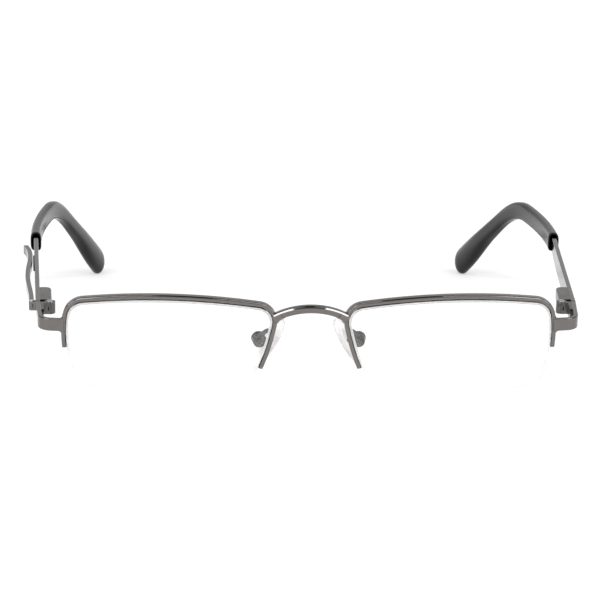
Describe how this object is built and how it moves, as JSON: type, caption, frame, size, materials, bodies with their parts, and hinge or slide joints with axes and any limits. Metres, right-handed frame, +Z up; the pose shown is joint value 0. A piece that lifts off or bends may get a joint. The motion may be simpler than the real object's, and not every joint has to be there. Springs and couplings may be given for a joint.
{
  "type": "half-rim eyeglasses",
  "caption": "Rectangular half-rim eyeglasses with folding spring-hinged temples, rocking nose pads and a pocket clip on one temple.",
  "frame": {"origin": "on the table, under the middle of the glasses as they stand open on lenses and temple tips", "axes": "+X to the wearer's left, +Y from the lenses back to the temple tips, +Z up"},
  "size_m": [0.1379, 0.1454, 0.0275],
  "materials": {
    "gunmetal": "warm dark grey plating, semi-gloss",
    "satin_housing": "gunmetal plating, satin",
    "bright_steel": "turned steel",
    "clear_lens": "polished, clear",
    "clear_nylon": "clear nylon, smooth",
    "pad_silicone": "soft clear silicone, slightly milky",
    "black_tip": "black acetate, semi-gloss",
    "black_rubber": "matt black rubber"
  },
  "bodies": {
    "front": {"bridge": "gunmetal", "left_lens": "clear_lens", "left_rim_wire": "gunmetal", "left_nylon_cord": "clear_nylon", "left_rim_liner": "clear_nylon", "left_pad_arm": "gunmetal", "left_pad_screw": "bright_steel", "left_end_piece": "gunmetal", "left_front_hinge": "satin_housing", "left_hinge_screw": "bright_steel", "right_lens": "clear_lens", "right_rim_wire": "gunmetal", "right_nylon_cord": "clear_nylon", "right_rim_liner": "clear_nylon", "right_pad_arm": "gunmetal", "right_pad_screw": "bright_steel", "right_end_piece": "gunmetal", "right_front_hinge": "satin_housing", "right_hinge_screw": "bright_steel"},
    "left_slider_body": {"left_hinge_slider": "bright_steel"},
    "left_temple_body": {"left_spring_housing": "satin_housing", "left_spring_stop": "bright_steel", "left_hinge_spring": "bright_steel", "left_temple": "gunmetal", "left_temple_tip": "black_tip"},
    "left_pad_body": {"left_nose_pad": "pad_silicone", "left_pad_core": "bright_steel"},
    "right_slider_body": {"right_hinge_slider": "bright_steel"},
    "right_temple_body": {"right_spring_housing": "satin_housing", "right_spring_stop": "bright_steel", "right_hinge_spring": "bright_steel", "right_temple": "gunmetal", "right_temple_tip": "black_tip", "clip_bracket": "gunmetal", "clip_pin": "bright_steel", "clip_pad": "black_rubber"},
    "right_pad_body": {"right_nose_pad": "pad_silicone", "right_pad_core": "bright_steel"},
    "clip_body": {"pocket_clip": "gunmetal"}
  },
  "joints": [
    {"name": "left_temple_fold", "type": "hinge", "parent": "front", "child": "left_slider_body", "pos_m": [0.0621, -0.05407, 0.01861], "axis": [0, -0.1186, 0.9929], "range_deg": [-5, 90]},
    {"name": "left_spring_travel", "type": "slide", "parent": "left_slider_body", "child": "left_temple_body", "axis": [0.0349, 0.9923, 0.1185], "range_m": [0, 0.0012], "stiffness_N_per_m": 600, "springref_m": -0.002},
    {"name": "left_pad_rock", "type": "hinge", "parent": "front", "child": "left_pad_body", "pos_m": [0.01203, -0.06228, 0.01276], "axis": [-0.2195, -0.9428, -0.2507], "range_deg": [-12, 12]},
    {"name": "right_temple_fold", "type": "hinge", "parent": "front", "child": "right_slider_body", "pos_m": [-0.0621, -0.05407, 0.01861], "axis": [0, 0.1186, -0.9929], "range_deg": [-5, 85]},
    {"name": "right_spring_travel", "type": "slide", "parent": "right_slider_body", "child": "right_temple_body", "axis": [-0.0349, 0.9923, 0.1185], "range_m": [0, 0.0012], "stiffness_N_per_m": 600, "springref_m": -0.002},
    {"name": "right_pad_rock", "type": "hinge", "parent": "front", "child": "right_pad_body", "pos_m": [-0.01203, -0.06228, 0.01276], "axis": [0.2195, -0.9428, -0.2507], "range_deg": [-12, 12]},
    {"name": "clip_lift", "type": "hinge", "parent": "right_temple_body", "child": "clip_body", "pos_m": [-0.06648, -0.05246, 0.01866], "axis": [0, -0.1186, 0.9929], "range_deg": [0, 12], "stiffness_Nm_per_rad": 0.02, "springref_deg": -5.73}
  ]
}
